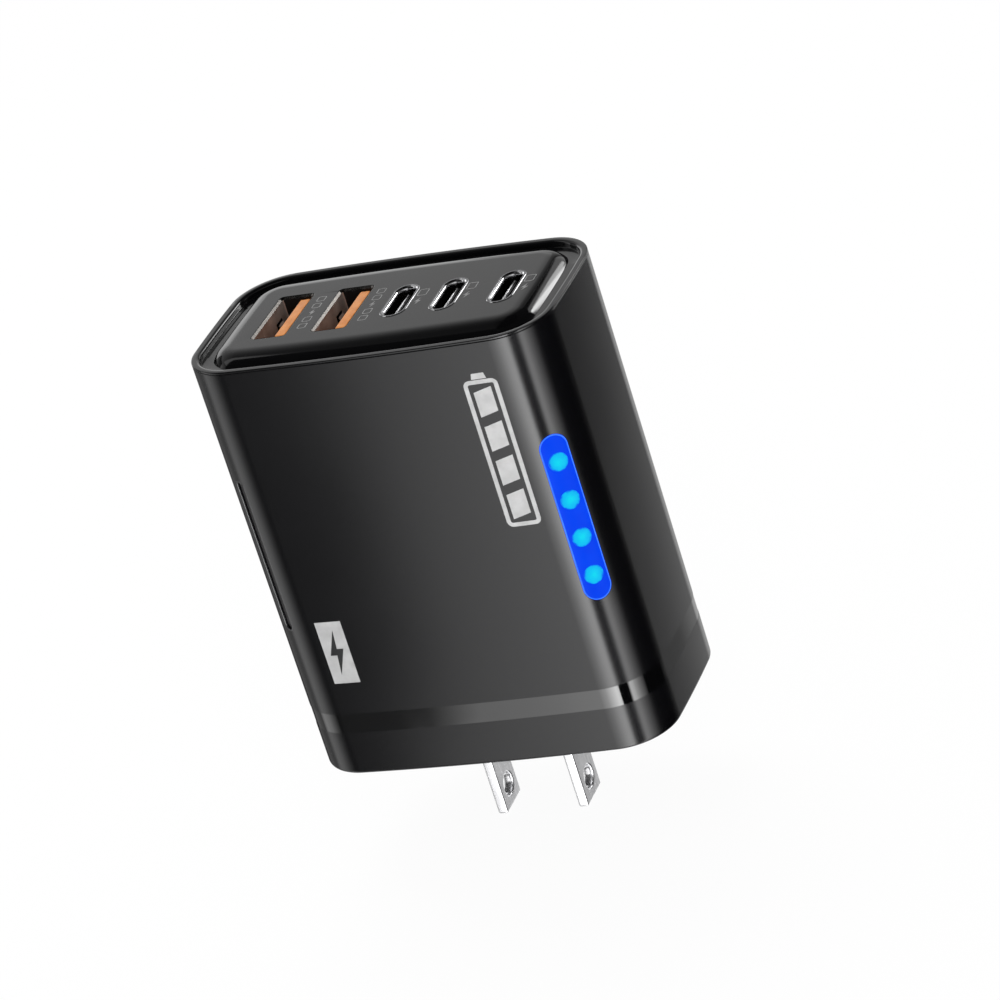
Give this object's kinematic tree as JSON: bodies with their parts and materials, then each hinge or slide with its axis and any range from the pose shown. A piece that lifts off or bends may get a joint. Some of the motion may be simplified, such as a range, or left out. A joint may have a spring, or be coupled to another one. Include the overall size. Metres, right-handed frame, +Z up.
{
  "type": "multi-port usb charger",
  "caption": "Black wall charger with a crowned rectangular body, a recessed port panel on top, a lit strip in one corner and flat mains blades below.",
  "frame": {"origin": "middle of the plug face, the flat bottom of the body that meets the outlet", "axes": "+Z up from the plug face to the ports, +X to the right along the wide front face, -Y out of the front face; the blades reach below zero"},
  "size_m": [0.0546, 0.0314, 0.0818],
  "materials": {
    "shell_satin": "satin",
    "cap_gloss": "gloss",
    "lens_blue": "gloss",
    "strip_dark": "gloss",
    "board_green": "satin",
    "light_cyan": "gloss",
    "port_steel": "satin",
    "tongue_orange": "satin",
    "contact_gold": "polished",
    "port_chrome": "polished",
    "tongue_black": "satin",
    "moulding_black": "satin",
    "blade_nickel": "polished",
    "holder_grey": "matte",
    "lead_copper": "satin",
    "fuse_ceramic": "satin",
    "capacitor_yellow": "satin",
    "capacitor_blue": "gloss",
    "ring_green": "satin",
    "winding_copper": "satin",
    "package_black": "matte",
    "can_sleeved": "satin",
    "ferrite": "matte",
    "tape_yellow": "satin",
    "can_aluminium": "satin",
    "inductor_grey": "matte",
    "package_white": "matte",
    "pad_blue": "matte",
    "plate_aluminium": "satin",
    "sheet_cream": "satin"
  },
  "bodies": {
    "root": {"body_shell": "shell_satin", "port_cap": "cap_gloss", "light_lens": "lens_blue", "side_strip": "strip_dark", "light_board": "board_green", "led_1": "light_cyan", "led_2": "light_cyan", "led_3": "light_cyan", "led_4": "light_cyan", "usb_a_shell_1": "port_steel", "usb_a_shell_2": "port_steel", "usb_a_tongue_1": "tongue_orange", "usb_a_tongue_2": "tongue_orange", "usb_a_contacts_1": "contact_gold", "usb_a_contacts_2": "contact_gold", "usb_c_shell_1": "port_chrome", "usb_c_shell_2": "port_chrome", "usb_c_shell_3": "port_chrome", "usb_c_tongue_1": "tongue_black", "usb_c_tongue_2": "tongue_black", "usb_c_tongue_3": "tongue_black", "usb_c_contacts_1": "contact_gold", "usb_c_contacts_2": "contact_gold", "usb_c_contacts_3": "contact_gold", "port_board": "board_green", "main_board": "board_green", "board_link": "moulding_black", "blade_left": "blade_nickel", "blade_right": "blade_nickel", "blade_holder": "holder_grey", "mains_lead_left": "lead_copper", "mains_lead_right": "lead_copper", "fuse": "fuse_ceramic", "x_capacitor": "capacitor_yellow", "y_capacitor": "capacitor_blue", "choke_base": "moulding_black", "choke_core": "ring_green", "choke_winding": "winding_copper", "bridge_rectifier": "package_black", "bulk_capacitor_1": "can_sleeved", "bulk_capacitor_2": "can_sleeved", "transformer_core": "ferrite", "transformer_bobbin": "moulding_black", "transformer_winding": "tape_yellow", "output_capacitor_1": "can_aluminium", "output_capacitor_2": "can_aluminium", "output_capacitor_3": "can_aluminium", "buck_inductor_1": "inductor_grey", "buck_inductor_2": "inductor_grey", "optocoupler": "package_white", "power_switch": "package_black", "controller_chip": "package_black", "rectifier_chip": "package_black", "thermal_pad": "pad_blue", "heat_spreader": "plate_aluminium", "insulation_sheet": "sheet_cream"}
  },
  "joints": []
}
